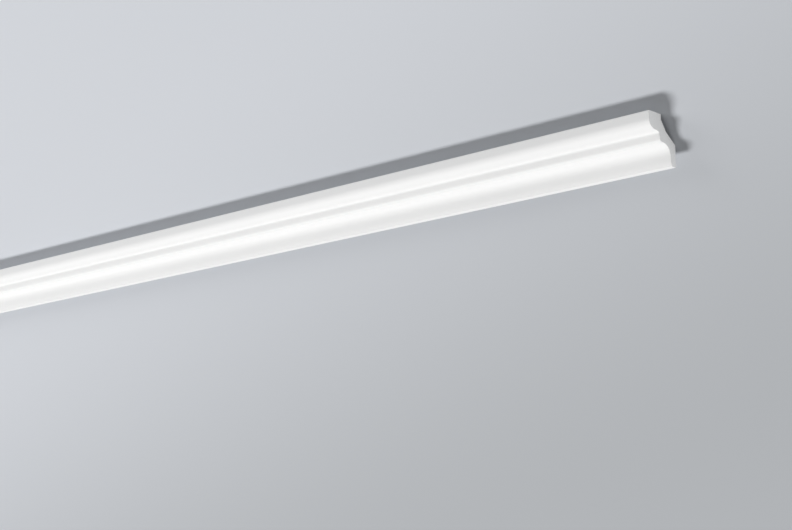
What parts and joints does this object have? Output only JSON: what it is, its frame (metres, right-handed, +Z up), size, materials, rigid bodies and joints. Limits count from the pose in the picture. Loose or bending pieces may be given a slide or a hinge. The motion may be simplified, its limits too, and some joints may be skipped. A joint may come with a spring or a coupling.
{
  "type": "ceiling cornice moulding",
  "caption": "Straight length of small white foam ceiling cornice: square lip, ovolo, fillet, cavetto and tapered band in front, hollow back, cut square at both ends.",
  "frame": {"origin": "on the floor under the middle of the piece, which lies on its hollow back", "axes": "+X along the length, +Y across it towards the lip, +Z up, out of the moulded face"},
  "size_m": [2, 0.0656, 0.0226],
  "materials": {
    "white_foam": "matte"
  },
  "bodies": {
    "root": {"cornice_moulding": "white_foam"}
  },
  "joints": []
}
